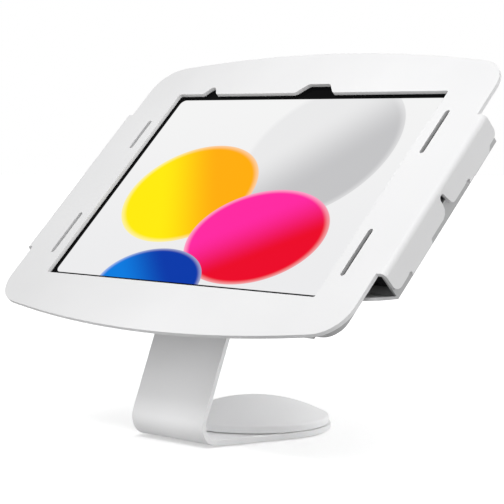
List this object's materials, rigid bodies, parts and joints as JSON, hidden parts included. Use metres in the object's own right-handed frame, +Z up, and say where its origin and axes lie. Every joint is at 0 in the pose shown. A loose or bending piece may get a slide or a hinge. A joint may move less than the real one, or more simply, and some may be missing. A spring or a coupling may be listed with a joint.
{
  "type": "tablet stand",
  "caption": "Counter stand for a tablet: a locked metal enclosure on a bent strip arm that swivels on its foot and turns the screen between landscape and portrait.",
  "frame": {"origin": "on the counter under the foot, on the swivel axis", "axes": "+Z up, +X to the right along the screen's long side, +Y away from the person who reads the screen"},
  "size_m": [0.304, 0.1691, 0.232],
  "materials": {
    "white_coat": "fine-textured white powder coat",
    "tray_coat": "pale grey powder coat",
    "inner_coat": "white powder coat",
    "steel": "brushed stainless steel",
    "zinc": "zinc-plated steel",
    "glide": "natural acetal",
    "foam": "closed-cell foam",
    "rubber": "matt rubber",
    "aluminium": "bead-blasted anodised",
    "glass": "black-bordered display glass",
    "chrome": "bright chrome plate"
  },
  "bodies": {
    "foot": {"base_cover": "white_coat", "base_glide_ring": "glide", "base_hub": "aluminium", "base_hub_screw_1": "zinc", "base_hub_screw_2": "zinc", "base_hub_screw_3": "zinc", "base_hub_screw_4": "zinc", "base_retainer": "steel", "base_spring_washer": "steel", "foot_pad": "rubber"},
    "arm": {"arm_strip": "white_coat", "base_bush": "glide", "head_bush": "glide", "head_stop_pin": "steel"},
    "enclosure": {"clinch_nut_1": "zinc", "clinch_nut_2": "zinc", "clinch_nut_3": "zinc", "clinch_nut_4": "zinc", "head_cover": "white_coat", "head_front_glide_ring": "glide", "head_glide_ring": "glide", "head_hub": "aluminium", "head_hub_screw_1": "zinc", "head_hub_screw_2": "zinc", "head_hub_screw_3": "zinc", "head_hub_screw_4": "zinc", "head_retainer": "steel", "head_spring_washer": "steel", "lock_barrel": "chrome", "lock_nut": "zinc", "rear_foam_pad_1": "foam", "rear_foam_pad_2": "foam", "rear_foam_pad_3": "foam", "rear_foam_pad_4": "foam", "rear_tray": "tray_coat", "side_foam_block_1": "foam", "side_foam_block_2": "foam", "side_foam_block_3": "foam", "side_foam_block_4": "foam", "tablet_glass": "glass", "tablet_housing": "aluminium", "vesa_plate": "inner_coat", "vesa_screw_1": "zinc", "vesa_screw_2": "zinc", "vesa_screw_3": "zinc", "vesa_screw_4": "zinc"},
    "lock": {"lock_plug": "chrome", "lock_cam": "zinc", "cam_screw": "zinc"},
    "face": {"faceplate": "white_coat"}
  },
  "joints": [
    {"name": "base_swivel", "type": "hinge", "parent": "foot", "child": "arm", "pos_m": [0, 0, 0.0007], "axis": [0, 0, 1], "continuous": true},
    {"name": "screen_rotate", "type": "hinge", "parent": "arm", "child": "enclosure", "pos_m": [0, 0.00436, 0.1328], "axis": [0, -0.6972, 0.7169], "range_deg": [-90, 90]},
    {"name": "lock_turn", "type": "hinge", "parent": "enclosure", "child": "lock", "pos_m": [-0.1375, -0.00812, 0.14563], "axis": [0, -0.6972, 0.7169], "range_deg": [0, 90]},
    {"name": "faceplate_lift", "type": "slide", "parent": "enclosure", "child": "face", "axis": [0, -0.6972, 0.7169], "range_m": [0, 0.06]}
  ]
}
